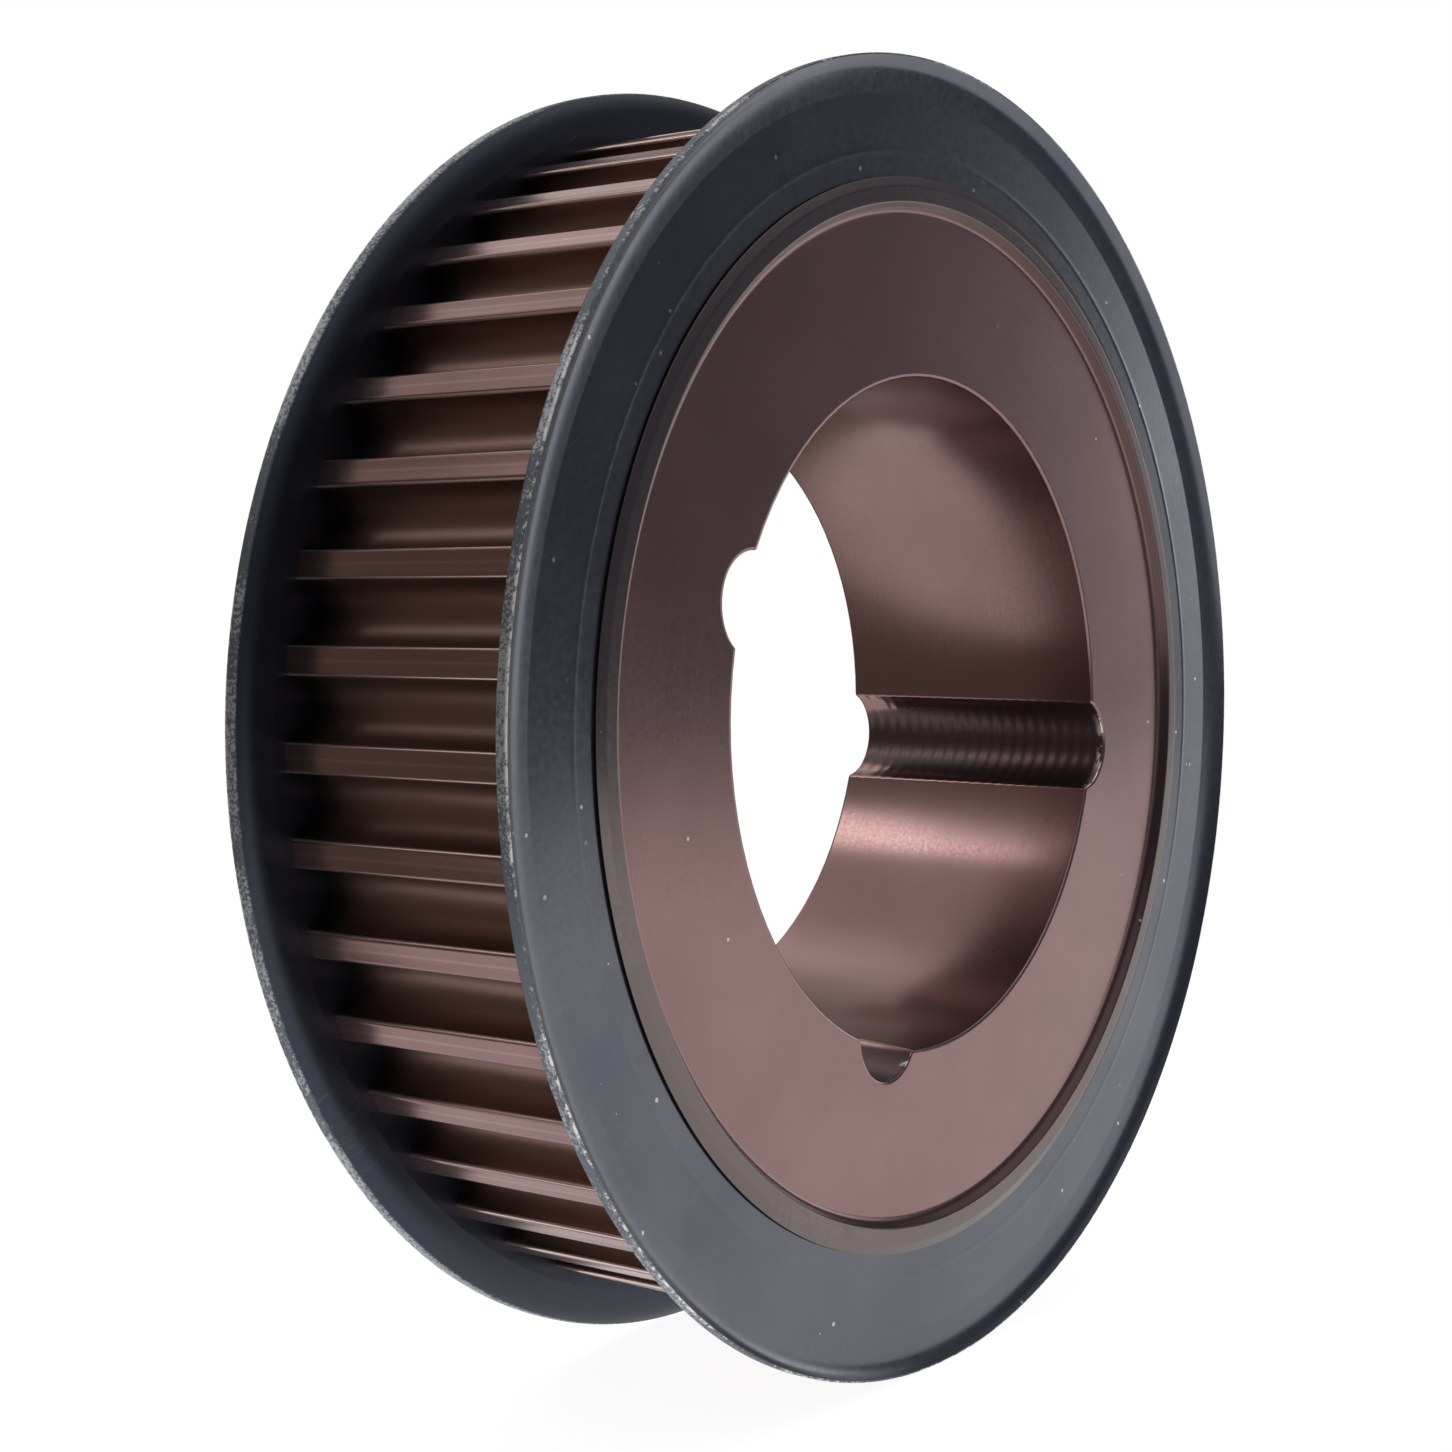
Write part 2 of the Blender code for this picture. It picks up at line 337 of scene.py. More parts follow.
# The body is one turned casting: a toothed ring between two spigots whose ends are
# rolled out over the flanges, and a web with a tapered bore and three half holes.
toothedBody = {
    "teeth": 44,
    "pitch": 14.0,            # along the belt's pitch line
    "pitchLineOffset": 1.4,   # from the tips out to the pitch line
    "grooveDepth": 6.02,
    "grooveRadius": 4.57,
    "grooveRound": 0.985,     # share of that radius which the floor's corners take
    "flankSpread": 0.12,      # how much wider the groove's mouth is
    "tipRound": 0.55,
    "firstTooth": 2.6,        # degrees from +X towards +Z
    "halfWidth": 22.78,       # all but touching the flanges
    "endChamfer": 0.08,
    "endRing": 88.5,          # a ring of the end faces, just under the grooves
    "spigotRadius": 84.0,
    "flangeSeat": 25.1,
    "lipOuter": 85.5,
    "lipEdge": 0.15,
    "lipBevel": 1.5,
    "lipInner": 81.5,
    "lipFoot": 80.3,          # the lip slopes down to the web here
    "webFace": 24.3,
    "webInner": 62.5,         # where the turned face meets the ring round the bore
    "hubRounds": (0.1, 0.04, 0.06, 1.2, 0.45, 1.6),   # corners from the spigot to the foot
    "hubColumns": 320,
}

taperBore = {
    "radius": 53.975,         # at the front face
    "taper": 4.0,             # degrees
    "edge": 0.22,             # chamfer round the bore
    "screwCircle": 51.2,      # at the front face, leaning in with the taper
    "screwRadius": 7.9375,
    "threadDepth": 0.06,
    "threadPitch": 2.309,
    "holes": ((-104.1, False), (-8.4, True), (160.2, True)),   # degrees, threaded
    "blindDepth": 30.0,
    "drillPoint": 4.5,
    "holeColumns": 40,
    "wallColumns": (24, 40, 24),
    "rows": 200,
    "cornerEase": 0.18,       # rounding where a hole meets the bore
    "holeSweep": 2.6,         # radians of a hole's wall that show
    "faceRing": 0.5,          # width of the flat ring beside the chamfer
}


def toothOutline(body):
    # One pitch from land centre to land centre as (sideways, outwards), then carried
    # round the body, turned by whole pitches. The last result is the angle of the point
    # of the end ring that lies straight under each point of the outline.
    tip = body["teeth"] * body["pitch"] / (2 * np.pi) - body["pitchLineOffset"]
    floor = tip - body["grooveDepth"]
    wide = body["grooveRadius"] + body["flankSpread"]
    halfPitch = np.pi / body["teeth"]
    land = tip * np.array([np.sin(halfPitch), np.cos(halfPitch)])
    corners = [(-land[0], land[1]), (-wide, tip), (-body["grooveRadius"], floor),
               (body["grooveRadius"], floor), (wide, tip), (land[0], land[1])]
    deep = body["grooveRadius"] * body["grooveRound"]
    radii = [body["tipRound"], deep, deep, body["tipRound"]]
    side, out = roundedOutline(corners, radii, arcSteps=8, support=0.25)[:-1].T
    turn = np.radians(body["firstTooth"]) + (np.arange(body["teeth"])[:, None] + 0.5) * 2 * halfPitch
    angle = (turn - np.arctan2(side, out)[::-1]).ravel()
    mouth = np.arcsin(wide / body["endRing"])
    spread = np.sign(side) * np.interp(np.abs(side), [0, wide, land[0]], [0, mouth, halfPitch])
    under = (turn - spread[::-1]).ravel()
    return np.tile(np.hypot(side, out)[::-1], body["teeth"]), angle, under


def toothRows(body):
    # The outline carried along the width, drawn in a little at both ends, and at each end
    # a round ring under the grooves, so that the end faces don't fold at the flanks.
    radius, angle, under = toothOutline(body)
    half, chamfer = body["halfWidth"], body["endChamfer"]
    along = np.array([-half, chamfer - half, 3 * chamfer - half, -half / 3,
                      half / 3, half - 3 * chamfer, half - chamfer, half])
    inset = np.zeros(len(along))
    inset[[0, -1]] = chamfer
    rows = turned(radius[None] - inset[:, None], along[:, None], angle[None])
    rings = turned(body["endRing"], np.array([[-half], [half]]), under[None])
    return np.concatenate([rings[:1], rows, rings[1:]])


def hubProfile(body):
    # From the toothed ring's end out along the spigot, over the rolled lip, down its
    # sloping inner wall and in along the web, as (radius, height).
    top, web = lipFace, body["webFace"]
    corners = [(body["spigotRadius"], body["halfWidth"]),
               (body["spigotRadius"], body["flangeSeat"]),
               (body["lipOuter"], body["flangeSeat"]),
               (body["lipOuter"], body["flangeSeat"] + body["lipEdge"]),
               (body["lipOuter"] - body["lipBevel"], top),
               (body["lipInner"], top),
               (body["lipFoot"], web),
               (body["webInner"], web)]
    return roundedOutline(corners, body["hubRounds"], arcSteps=6, support=0.3)


def hubRows(body, end):
    # The end profile turned round the axle; end is -1 for the front and 1 for the rear.
    profile = hubProfile(body)
    angle = evenAngles(body["hubColumns"])
    return turned(profile[:, :1], end * profile[:, 1:], angle[None])


def screwHoleRadius(bore, threaded, swing, depth):
    # A threaded hole's wall is a worn, rounded ridge that climbs one pitch in each turn,
    # a cosine wave along the depth; a plain one ends in a drill point.
    if threaded:
        turn = depth / bore["threadPitch"] + swing / (2 * np.pi)
        return bore["screwRadius"] - bore["threadDepth"] * (0.5 + 0.5 * np.cos(2 * np.pi * turn))
    left = (bore["blindDepth"] + bore["drillPoint"] - depth) / bore["drillPoint"]
    return bore["screwRadius"] * np.clip(left, 0, 1) + 0 * swing


def screwHoleEdge(bore, threaded, side, depth, wall, circle):
    # Where the hole's circle meets the bore, by the rule of cosines; repeated because
    # the thread changes the circle's radius on the way.
    swing = side * 1.3                        # a first guess, in radians
    narrowest = np.cos(np.radians(2.0))
    for _ in range(8):
        radius = screwHoleRadius(bore, threaded, swing, depth)
        cosine = (wall ** 2 + circle ** 2 - radius ** 2) / (2 * wall * circle)
        turn = side * np.arccos(np.clip(cosine, -1, narrowest))
        swing = np.arctan2(wall * np.sin(turn), wall * np.cos(turn) - circle)
    return swing, turn


def easedSteps(count, ease):
    # Even steps from 0 to 1 with two close ones at each end.
    close = np.array([1.0, 2.2]) * ease
    middle = np.linspace(0, 1, count - 2)[1:-1]
    return np.concatenate([close, middle, 1 - close[::-1]])


def boreRows(bore, body):
    # Radius and angle over a grid of depth and column. In a hole's columns a point is
    # the hole's centre plus the hole radius along its own swing, and never inside the
    # bore's cone; between two holes it is on the cone.
    web = body["webFace"]
    depth = np.linspace(bore["edge"], 2 * web - bore["edge"], bore["rows"])[::-1, None]
    slope = np.tan(np.radians(bore["taper"]))
    wall, circle = bore["radius"] - depth * slope, bore["screwCircle"] - depth * slope
    edges = []
    for _, threaded in bore["holes"]:
        low = screwHoleEdge(bore, threaded, -1, depth, wall, circle)
        high = screwHoleEdge(bore, threaded, 1, depth, wall, circle)
        edges.append((low, high))
    radii, angles = [], []
    for k, (angle, threaded) in enumerate(bore["holes"]):
        (swingLow, _), (swingHigh, turnHigh) = edges[k]
        ease = bore["cornerEase"] / (bore["screwRadius"] * bore["holeSweep"])
        swing = swingLow + (swingHigh - swingLow) * easedSteps(bore["holeColumns"], ease)[None]
        radius = screwHoleRadius(bore, threaded, swing, depth)
        onCone = np.sqrt(wall ** 2 - (circle * np.sin(swing)) ** 2) - circle * np.cos(swing)
        radius = np.maximum(radius, onCone)
        x, y = circle + radius * np.cos(swing), radius * np.sin(swing)
        radii.append(np.hypot(x, y))
        angles.append(np.radians(angle) + np.arctan2(y, x))
        nextHole = (k + 1) % len(bore["holes"])
        nextAngle = bore["holes"][nextHole][0] + (360 if nextHole == 0 else 0)
        start = np.radians(angle) + turnHigh
        stop = np.radians(nextAngle) + edges[nextHole][0][1]
        ease = bore["cornerEase"] / (bore["radius"] * (stop - start).mean())
        angles.append(start + (stop - start) * easedSteps(bore["wallColumns"][k], ease)[None])
        radii.append(wall + 0 * angles[-1])
    return turned(np.concatenate(radii, 1), depth - web, np.concatenate(angles, 1))


def boreEndRings(bore, body, ring, end):
    # The chamfer's ring on the face, moved off the hole at right angles to it, and one
    # more ring further out that keeps the face beside it flat.
    ahead = np.roll(ring, -1, 0) - np.roll(ring, 1, 0)
    away = np.stack([ahead[:, 2], 0 * ahead[:, 1], -ahead[:, 0]], -1)
    away /= np.linalg.norm(away, axis=1)[:, None]
    onFace = ring + bore["edge"] * away
    onFace[:, 1] = end * body["webFace"]
    outer = onFace.copy()
    radius = np.hypot(onFace[:, 0], onFace[:, 2])[:, None]
    outer[:, [0, 2]] *= (radius + bore["faceRing"]) / radius
    return onFace, outer


def makeBodyMesh(body, bore):
    teeth = toothRows(body)
    rearHub = hubRows(body, 1)
    frontHub = hubRows(body, -1)[::-1]
    wall = boreRows(bore, body)
    rearFace, rearOuter = boreEndRings(bore, body, wall[0], 1)
    frontFace, frontOuter = boreEndRings(bore, body, wall[-1], -1)
    wall = np.concatenate([[rearOuter, rearFace], wall, [frontFace, frontOuter]])
    grids = [teeth, rearHub, wall, frontHub]
    sizes = [grid.shape[0] * grid.shape[1] for grid in grids]
    starts = np.concatenate([[0], np.cumsum(sizes)])
    points = np.concatenate([grid.reshape(-1, 3) for grid in grids])
    faces = []
    for k, grid in enumerate(grids):
        rows, columns = grid.shape[:2]
        faces += ringQuads(rows, columns, starts[k]).tolist()
        following = (k + 1) % len(grids)
        lastRing = starts[k] + sizes[k] - columns + np.arange(columns)
        nextRing = starts[following] + np.arange(grids[following].shape[1])
        faces += zipRings(points, lastRing, nextRing).tolist()
    return points, faces


# Most pairs are soft steps, from where they are 0 to where they are 1: of a noise for the
# cloud and the fine grain, and otherwise in millimetres from the axle, from the middle of
# the width, or along the named axis. Scales are features per millimetre.
ironLook = {
    "cloudScale": 0.05,
    "cloudStep": (0.3, 0.7),
    "tones": ((0.232, 0.142, 0.136, 1), (0.258, 0.160, 0.154, 1)),
    "grooveTop": (96.1, 95.2),
    "grooveFoot": (88.0, 89.0),
    "grooveTone": (0.215, 0.134, 0.108, 1),
    # painted shade: the grooves darken towards both ends, beside the flanges
    "grooveShadeHeight": (15.5, 22.0),
    "grooveShadeShare": 0.85,
    "grooveShadeTone": (0.030, 0.022, 0.024, 1),
    # painted highlight: a bright band on the rounded corners of the teeth
    "cornerGlintStart": (96.05, 96.2),
    "cornerGlintStop": (96.66, 96.58),
    "cornerGlintShare": 0.75,
    "cornerWearAndGlintTone": (0.80, 0.62, 0.57, 1),
    "lipHeight": (24.9, 25.3),
    "lipStart": (81.0, 81.9),
    "lipTone": (0.150, 0.122, 0.120, 1),
    "lipWear": {"Amount": 0.45, "Size": 0.8},
    "rolledShare": 0.2,
    "rolledTone": (0.22, 0.19, 0.19, 1),
    # painted shade on the lip's sloping inner wall
    "wallHeight": (24.35, 24.6),
    "wallStop": (81.7, 81.3),
    "wallShadeShare": 0.8,
    "wallShadeTone": (0.060, 0.036, 0.036, 1),
    "holeStart": (53.9, 54.6),
    "holeStop": (62.0, 61.0),
    "holeHeight": (24.25, 24.1),
    # painted shade inside the half holes
    "holeShadeTone": (0.110, 0.074, 0.078, 1),
    # bare-metal burrs, made bright only at the holes' lower front ends as painted glints
    "burrGlintY": (-22.6, -23.8),
    "burrGlintZ": (-2.0, -3.5),
    "burrGlintWear": {"Amount": 0.5, "Size": 0.5},
    "burrGlintTone": (0.85, 0.80, 0.76, 1),
    "dust": {"Scale": 0.2, "Share": 0.25, "Size": 0.05},
    "dustHeight": (24.15, 24.25),
    "dustShare": 0.6,
    "dustTone": (0.75, 0.66, 0.55, 1),
    "metallic": 0.92,
    "fineScale": 1.6,
    "fineStep": (0.2, 0.8),
    "roughness": (0.15, 0.21),
    "grain": {"Spacing": 0.35, "Drift": 3.0},
    "grainRoughness": 0.05,
    "dullRoughness": 0.16,
    "grainRelief": 0.6,
    "fineRelief": 0.5,
    "bump": {"Strength": 0.25, "Distance": 0.00002},
}


def makePhosphatedIron(look):
    material, tree, shader = newMaterial("phosphatedIron")
    place = useGroup(tree, turnedPlace)
    radius, height = place["Radius"], place["Height"]
    cloud = addNoise(tree, place["Object"], look["cloudScale"], detail=4.0)
    fine = addNoise(tree, place["Object"], look["fineScale"])
    tone = addMix(tree, addStep(tree, cloud, *look["cloudStep"]), *look["tones"])
    # The grooves keep more of the brown coating. Near both ends they are darkened as painted shade,
    # where the flanges shade them, and the corners of the teeth get a painted highlight.
    inGroove = addBand(tree, radius, look["grooveTop"], look["grooveFoot"])
    tone = addMix(tree, inGroove, tone, look["grooveTone"])
    shadedGrooveEnds = addMath(tree, "MULTIPLY", inGroove, addStep(tree, height, *look["grooveShadeHeight"]))
    tone = addLayer(tree, tone, shadedGrooveEnds, look["grooveShadeShare"], look["grooveShadeTone"])
    # Painted highlight along the teeth's rounded corners.
    cornerGlint = addBand(tree, radius, look["cornerGlintStart"], look["cornerGlintStop"])
    tone = addLayer(tree, tone, cornerGlint, look["cornerGlintShare"], look["cornerWearAndGlintTone"])
    # The rolled lip is burnished grey, a little brighter where the tool pressed hardest,
    # and its inner wall is darkened as painted shade.
    onLip = addMath(tree, "MULTIPLY", addStep(tree, height, *look["lipHeight"]),
                    addStep(tree, radius, *look["lipStart"]))
    rolled = useGroup(tree, edgeWear, Nearness=onLip, **look["lipWear"])["Wear"]
    tone = addMix(tree, onLip, tone, look["lipTone"])
    tone = addLayer(tree, tone, rolled, look["rolledShare"], look["rolledTone"])
    shadedWall = addMath(tree, "MULTIPLY", addStep(tree, height, *look["wallHeight"]),
                     addStep(tree, radius, *look["wallStop"]))
    tone = addLayer(tree, tone, shadedWall, look["wallShadeShare"], look["wallShadeTone"])
    # The half holes are darkened as painted shade, with bright burrs at the lower side of
    # their front ends that are bare metal and also painted glints.
    beside = addBand(tree, radius, look["holeStart"], look["holeStop"])
    inHole = addMath(tree, "MULTIPLY", beside, addStep(tree, height, *look["holeHeight"]))
    tone = addMix(tree, inHole, tone, look["holeShadeTone"])
    # Painted glints: bright bare-metal burrs at the lower side of the holes' front ends.
    axes = addNode(tree, "ShaderNodeSeparateXYZ", {0: place["Object"]}).outputs
    burrGlint = addMath(tree, "MULTIPLY", inHole, addStep(tree, axes["Y"], *look["burrGlintY"]))
    burrGlint = addMath(tree, "MULTIPLY", burrGlint, addStep(tree, axes["Z"], *look["burrGlintZ"]))
    burrGlint = useGroup(tree, edgeWear, Nearness=burrGlint, **look["burrGlintWear"])["Wear"]
    tone = addMix(tree, burrGlint, tone, look["burrGlintTone"])
    dust = useGroup(tree, specks, **look["dust"])["Mask"]
    dust = addMath(tree, "MULTIPLY", dust, addStep(tree, height, *look["dustHeight"]))
    tone = addLayer(tree, tone, dust, look["dustShare"], look["dustTone"])
    feed(tree, shader.inputs["Base Color"], tone)
    shader.inputs["Metallic"].default_value = look["metallic"]
    grain = useGroup(tree, turnedGrain, **look["grain"])["Grain"]
    rough = addStep(tree, fine, *look["fineStep"], *look["roughness"])
    rough = addMath(tree, "ADD", rough, addMath(tree, "MULTIPLY", grain, look["grainRoughness"]))
    dull = addMath(tree, "ADD", inGroove, inHole)
    rough = addMath(tree, "ADD", rough, addMath(tree, "MULTIPLY", dull, look["dullRoughness"]))
    feed(tree, shader.inputs["Roughness"], rough)
    relief = addMath(tree, "ADD", addMath(tree, "MULTIPLY", grain, look["grainRelief"]),
                     addMath(tree, "MULTIPLY", fine, look["fineRelief"]))
    bump = addNode(tree, "ShaderNodeBump", {**look["bump"], "Height": relief})
    feed(tree, shader.inputs["Normal"], bump.outputs[0])
    return material


bodyPoints, bodyFaces = makeBodyMesh(toothedBody, taperBore)
makePiece("bodySkin", bodyPoints, bodyFaces, "pulley_body",
          makePhosphatedIron(ironLook))
print("body made")

# A flange is a pressing of 2 mm sheet: a flat seat round the spigot, a low ridge at the
# crease, a slight fall and then a flare that steepens towards the rim.
flangeSheet = {
    "thickness": 2.0,
    "holeRadius": 84.3,
    "seatFace": 24.8,
    "creaseRadius": 89.6,
    "creaseHalf": 0.4,        # half the width of the ridge
    "creaseHeight": 0.05,
    "seatFall": 0.2,
    "flareRadius": 98.5,
    "flareStart": 0.3,        # share of the flare's rise that is straight
    "flarePower": 4.0,
    "frontRound": 0.2,        # at the rim, outer face and belt side
    "backRound": 0.7,
    "holeRounds": (0.3, 0.15),
    "columns": 480,
}


def sheetFace(flange, radius):
    # Height of the sheet's outer face at a radius: the seat, plus a bell-shaped ridge at
    # the crease, less an even fall out to the flare, plus the flare's rise as a straight
    # share and a power of the way to the rim.
    crease, flare, seat = flange["creaseRadius"], flange["flareRadius"], flange["seatFace"]
    ridge = flange["creaseHeight"] * np.exp(-((radius - crease) / flange["creaseHalf"]) ** 2)
    fall = flange["seatFall"] * np.clip((radius - crease) / (flare - crease), 0, 1)
    out = np.clip((radius - flare) / (rimRadius - flare), 0, 1)
    straight = flange["flareStart"]
    rise = straight * out + (1 - straight) * out ** flange["flarePower"]
    return seat + ridge - fall + (rimFace - seat + flange["seatFall"]) * rise


def flangeProfile(flange):
    # Round the sheet's edge at the rim, in along the belt side, round the hole and out
    # along the face; the belt side is the face moved in by the sheet's thickness. The
    # stretches of radius are (from, to, points), closer where the face bends.
    crease, flare, hole = flange["creaseRadius"], flange["flareRadius"], flange["holeRadius"]
    sheet, seat = flange["thickness"], flange["seatFace"]
    stretches = ((hole + 0.6, crease - 1.4, 4), (crease - 1.2, crease + 1.2, 15),
                 (crease + 2, flare - 0.5, 10), (flare - 0.12, flare + 0.12, 3),
                 (flare + 0.5, rimRadius - 0.9, 20))
    radius = np.concatenate([np.linspace(*stretch) for stretch in stretches])
    face = np.stack([radius, sheetFace(flange, radius)], 1)
    back = face[::-1] - (0, sheet)
    rim = [face[-1], (rimRadius, rimFace), (rimRadius, rimFace - sheet), back[0]]
    edge = [back[-1], (hole, seat - sheet), (hole, seat), face[0]]
    rimRounds = (flange["frontRound"], flange["backRound"])
    rim = roundedOutline(rim, rimRounds, arcSteps=6, support=0.1)
    edge = roundedOutline(edge, flange["holeRounds"], arcSteps=4, support=0.1)
    return np.concatenate([rim, back[1:-1], edge, face[1:-1]])


def makeFlangeMesh(flange, end):
    # The profile turned round the axle; end is -1 for the front and 1 for the rear,
    # where the profile is run backwards so that its faces still point outwards.
    profile = flangeProfile(flange)
    if end > 0:
        profile = profile[::-1]
    angle = evenAngles(flange["columns"])
    rows = turned(profile[:, :1], end * profile[:, 1:], angle[None])
    return rows.reshape(-1, 3), ringQuads(len(profile), len(angle), 0, closed=True).tolist()


sheetLook = {
    "cloudScale": 0.04,
    "cloudStep": (0.3, 0.7),
    "tones": ((0.100, 0.105, 0.128, 1), (0.124, 0.127, 0.148, 1)),
    "beltSide": (24.5, 24.3),
    # painted shade: the belt side, between the flanges, is darker as well as bluer
    "beltShadeTone": (0.046, 0.050, 0.066, 1),
    "edgeReach": (0.4, 0.05),        # in from the rim
    "edgeShare": 0.6,
    "edgeTone": (0.15, 0.17, 0.20, 1),
    "edgeWear": {"Amount": 0.5, "Size": 1.9},
    "wearTone": (0.40, 0.42, 0.45, 1),
    "cornerReach": (0.8, 0.2),       # in from the rim's face
    "cornerWear": {"Amount": 0.56, "Size": 1.2},
    "cornerWearAndGlintTone": (0.85, 0.84, 0.82, 1),
    "scratches": {"Turn": 0.6, "Share": 0.42},
    "scratchShare": 0.3,
    "dust": {"Scale": 0.26, "Share": 0.8, "Size": 0.07},
    "dustyScale": 0.03,
    "dustyStep": (0.4, 0.5),
    "dustHeight": (24.4, 24.5),
    "dustShare": 0.7,
    "dustTone": (0.66, 0.67, 0.62, 1),
    "metallic": 0.9,
    "fineScale": 0.9,
    "fineStep": (0.2, 0.8),
    "roughness": (0.17, 0.25),
    "edgeRoughness": 0.33,
    "beltRoughness": 0.18,
    "wearRelief": 0.6,
    "bump": {"Strength": 0.25, "Distance": 0.00003},
}


def makeBluedSheet(look):
    material, tree, shader = newMaterial("bluedSheet")
    place = useGroup(tree, turnedPlace)
    radius, height = place["Radius"], place["Height"]
    cloud = addNoise(tree, place["Object"], look["cloudScale"], detail=4.0)
    fine = addNoise(tree, place["Object"], look["fineScale"], detail=4.0)
    tone = addMix(tree, addStep(tree, cloud, *look["cloudStep"]), *look["tones"])
    # The belt side is bluer, and darker as painted shade between the flanges; the sheared
    # edge is scuffed to bare metal.
    beltSide = addStep(tree, height, *look["beltSide"])
    tone = addMix(tree, beltSide, tone, look["beltShadeTone"])
    onEdge = addStep(tree, radius, *(rimRadius - reach for reach in look["edgeReach"]))
    tone = addLayer(tree, tone, onEdge, look["edgeShare"], look["edgeTone"])
    wear = useGroup(tree, edgeWear, Nearness=onEdge, **look["edgeWear"])["Wear"]
    marks = useGroup(tree, scratches, **look["scratches"])["Mask"]
    marks = addMath(tree, "MULTIPLY", marks, look["scratchShare"])
    tone = addMix(tree, addMath(tree, "MAXIMUM", wear, marks), tone, look["wearTone"])
    corner = addStep(tree, height, *(rimFace - reach for reach in look["cornerReach"]))
    corner = addMath(tree, "MULTIPLY", onEdge, corner)
    corner = useGroup(tree, edgeWear, Nearness=corner, **look["cornerWear"])["Wear"]
    tone = addMix(tree, corner, tone, look["cornerWearAndGlintTone"])
    # Dust lies on the outer face, more in some places than in others.
    dust = useGroup(tree, specks, **look["dust"])["Mask"]
    dusty = addNoise(tree, place["Object"], look["dustyScale"], detail=2.0)
    dust = addMath(tree, "MULTIPLY", dust, addStep(tree, dusty, *look["dustyStep"]))
    dust = addMath(tree, "MULTIPLY", dust, addStep(tree, height, *look["dustHeight"]))
    tone = addLayer(tree, tone, dust, look["dustShare"], look["dustTone"])
    feed(tree, shader.inputs["Base Color"], tone)
    shader.inputs["Metallic"].default_value = look["metallic"]
    rough = addStep(tree, fine, *look["fineStep"], *look["roughness"])
    rough = addMath(tree, "ADD", rough, addMath(tree, "MULTIPLY", onEdge, look["edgeRoughness"]))
    rough = addMath(tree, "ADD", rough, addMath(tree, "MULTIPLY", beltSide, look["beltRoughness"]))
    feed(tree, shader.inputs["Roughness"], rough)
    relief = addMath(tree, "ADD", fine, addMath(tree, "MULTIPLY", wear, look["wearRelief"]))
    bump = addNode(tree, "ShaderNodeBump", {**look["bump"], "Height": relief})
    feed(tree, shader.inputs["Normal"], bump.outputs[0])
    return material


bluedSheet = makeBluedSheet(sheetLook)
for side, end in (("front", -1), ("rear", 1)):
    points, faces = makeFlangeMesh(flangeSheet, end)
    makePiece(side + "FlangeSkin", points, faces, side + "_flange", bluedSheet)
print("flanges made")

studio = {
    "tableSpan": ((-0.3, 2.4), (-0.8, 0.105)),     # along X and Y, its back edge close behind
    "tableColour": (0.25, 0.25, 0.25, 1),
    "tableGlow": 0.92,
    "tableDrop": 0.0002,      # below the rims, so that they don't cut into it
    "frontHorizon": (0.125, 0.125, 0.150, 1),
    "backHorizon": (0.185, 0.155, 0.125, 1),
    "horizonTurn": (-0.4, 0.4),   # Y of the unit direction where one becomes the other
    "overheadGlow": 0.62,
    "overheadStart": 0.34,    # height of the unit direction where the ceiling glow begins
    "overheadFull": 0.82,
    # Glowing panels: degrees from -Y towards +X, degrees up, core and edge, brightness.
    "panels": ((71, 2, 5, 9.5, 1.3), (72, 11, 5, 10, 0.8), (160, 46, 6, 19, 0.6),
               (180, -22, 14, 30, 0.6)),
    "keyPlace": (-0.662, 0.576, 0.818),
    "keySize": (0.14, 0.28),
    "keyPower": 0.6,
    "cameraPlace": (-0.3358, -0.2339, 0.0169),
    "cameraForward": (0.8010, 0.5986, 0.0029),
    "lens": 60.63,
    "shiftUp": -0.0868,
}


def makeTable(values):
    # A plain white table that glows a little, so that it fades into the white behind it.
    (left, right), (front, back) = values["tableSpan"]
    height = floorHeight - values["tableDrop"]
    mesh = bpy.data.meshes.new("table")
    mesh.from_pydata([(left, front, height), (right, front, height), (right, back, height),
                      (left, back, height)], [], [(0, 1, 2, 3)])
    material, _, shader = newMaterial("whiteTable")
    shader.inputs["Base Color"].default_value = values["tableColour"]
    shader.inputs["Roughness"].default_value = 0.9
    shader.inputs["Emission Color"].default_value = (1, 1, 1, 1)
    shader.inputs["Emission Strength"].default_value = values["tableGlow"]
    mesh.materials.append(material)
    table = bpy.data.objects.new("table", mesh)
    bpy.context.scene.collection.objects.link(table)


def addPanelGlow(tree, toward, azimuth, height, core, edge, brightness):
    # A soft round panel: full inside the core angle from its middle, none past the edge.
    around, up = np.radians(azimuth), np.radians(height)
    middle = (np.sin(around) * np.cos(up), -np.cos(around) * np.cos(up), np.sin(up))
    nearness = addNode(tree, "ShaderNodeVectorMath", {0: toward, 1: middle},
                       operation="DOT_PRODUCT")
    low, high = np.cos(np.radians(edge)), np.cos(np.radians(core))
    return addStep(tree, nearness.outputs["Value"], low, high, 0.0, brightness)


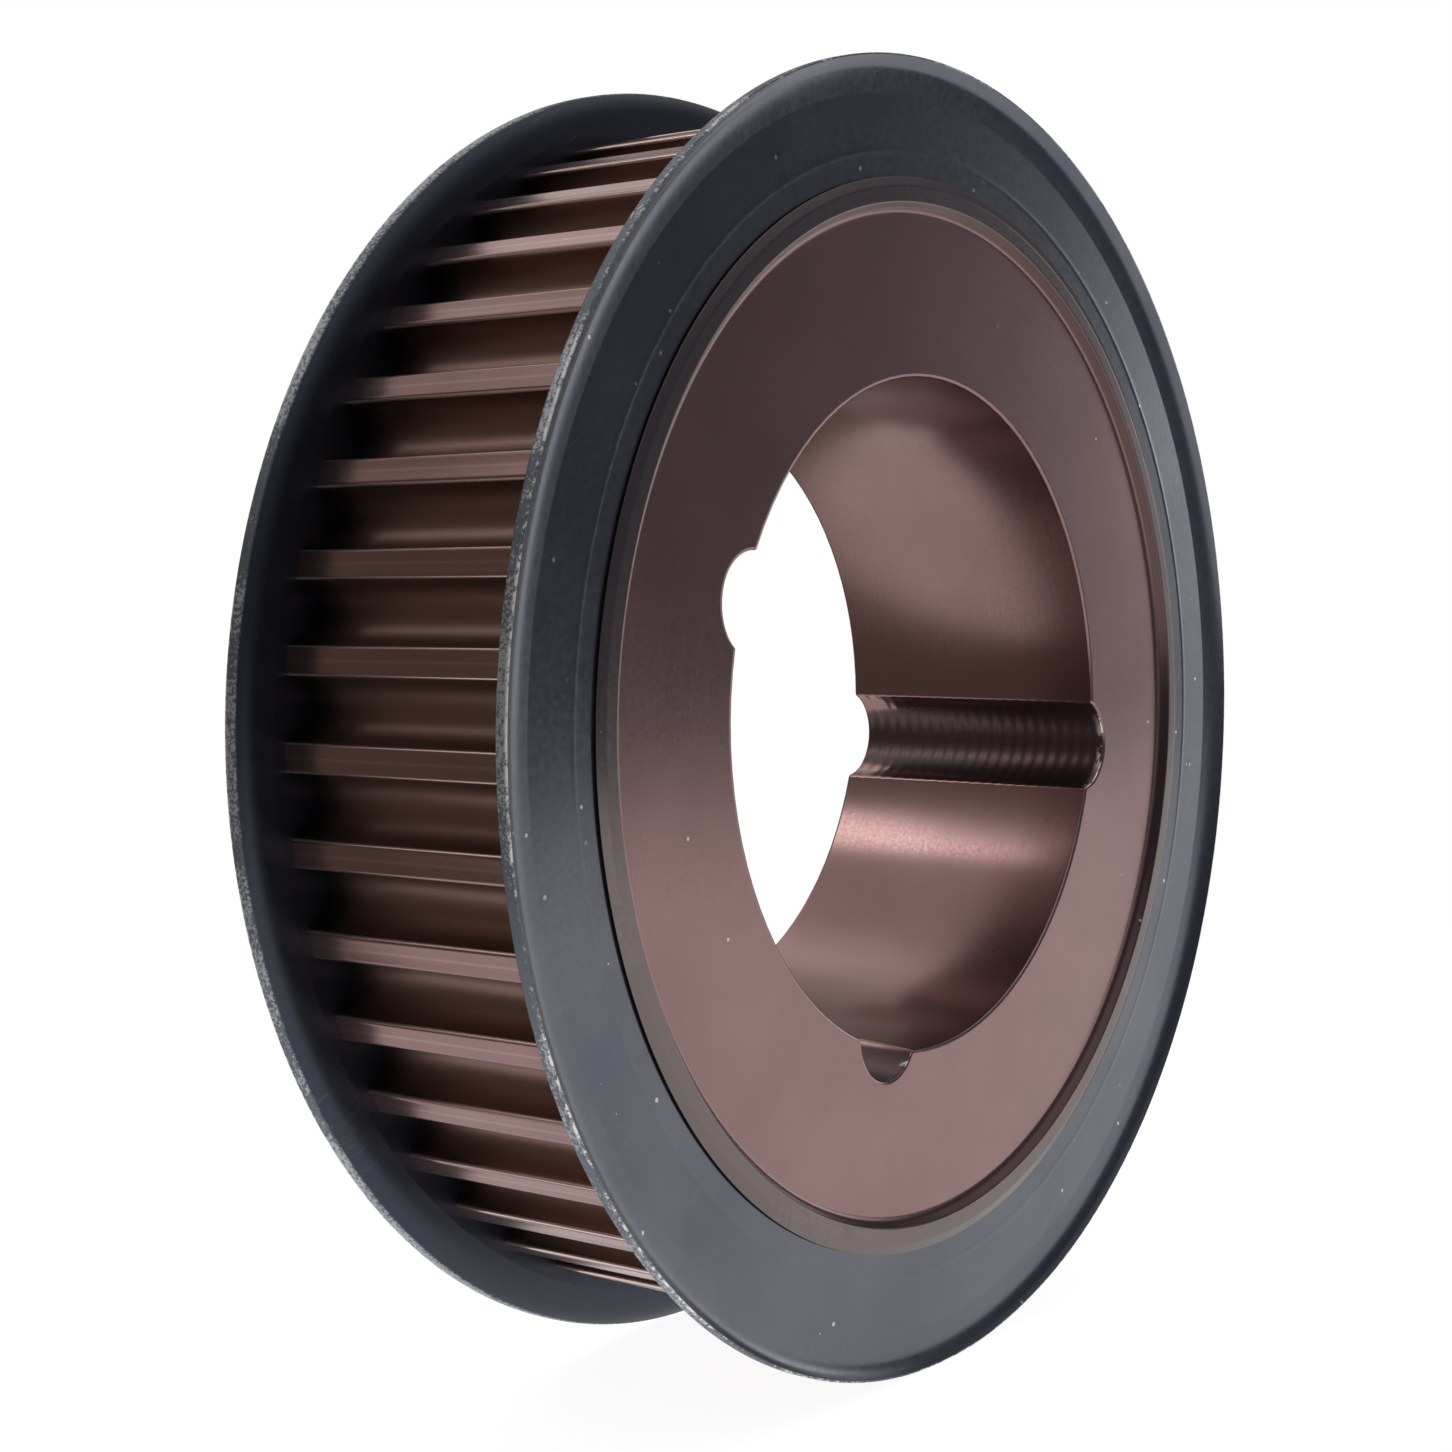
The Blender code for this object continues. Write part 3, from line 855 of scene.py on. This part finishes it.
def makeSurroundings(values):
    # A room that is dim at the horizon and bright overhead, with a few soft panels, and
    # plain white where the camera looks past the pulley.
    world = bpy.data.worlds.new("studio")
    world.use_nodes = True
    bpy.context.scene.world = world
    tree = world.node_tree
    tree.nodes.clear()
    toward = addNode(tree, "ShaderNodeTexCoord").outputs["Generated"]
    axes = addNode(tree, "ShaderNodeSeparateXYZ", {0: toward}).outputs
    total = addStep(tree, axes["Z"], values["overheadStart"], values["overheadFull"],
                    0.0, values["overheadGlow"])
    for panel in values["panels"]:
        total = addMath(tree, "ADD", total, addPanelGlow(tree, toward, *panel))
    horizon = addMix(tree, addStep(tree, axes["Y"], *values["horizonTurn"]),
                     values["frontHorizon"], values["backHorizon"])
    colour = addMix(tree, 1.0, horizon, total, blend="ADD")
    room = addNode(tree, "ShaderNodeBackground", {"Color": colour, "Strength": 1.0})
    white = addNode(tree, "ShaderNodeBackground", {"Color": (1, 1, 1, 1), "Strength": 1.0})
    seen = addNode(tree, "ShaderNodeLightPath").outputs["Is Camera Ray"]
    mixed = addNode(tree, "ShaderNodeMixShader", {0: seen, 1: room.outputs[0], 2: white.outputs[0]})
    addNode(tree, "ShaderNodeOutputWorld", {"Surface": mixed.outputs[0]})


def addSoftbox(name, place, aim, size, power):
    # A rectangular lamp that faces the aim.
    data = bpy.data.lights.new(name, "AREA")
    data.shape = "RECTANGLE"
    data.size, data.size_y = size
    data.energy = power
    lamp = bpy.data.objects.new(name, data)
    lamp.location = place
    lamp.rotation_euler = (Vector(aim) - Vector(place)).to_track_quat("-Z", "Y").to_euler()
    bpy.context.scene.collection.objects.link(lamp)


def makeCamera(values):
    data = bpy.data.cameras.new("camera")
    data.lens = values["lens"]
    data.sensor_width = 36
    data.shift_y = values["shiftUp"]
    data.clip_start = 0.01
    camera = bpy.data.objects.new("camera", data)
    camera.location = values["cameraPlace"]
    camera.rotation_euler = Vector(values["cameraForward"]).to_track_quat("-Z", "Y").to_euler()
    bpy.context.scene.collection.objects.link(camera)
    bpy.context.scene.camera = camera


makeTable(studio)
makeSurroundings(studio)
addSoftbox("key", studio["keyPlace"], (0, 0, 0), studio["keySize"], studio["keyPower"])
makeCamera(studio)
bpy.context.scene.view_settings.view_transform = "Standard"
print("studio made")
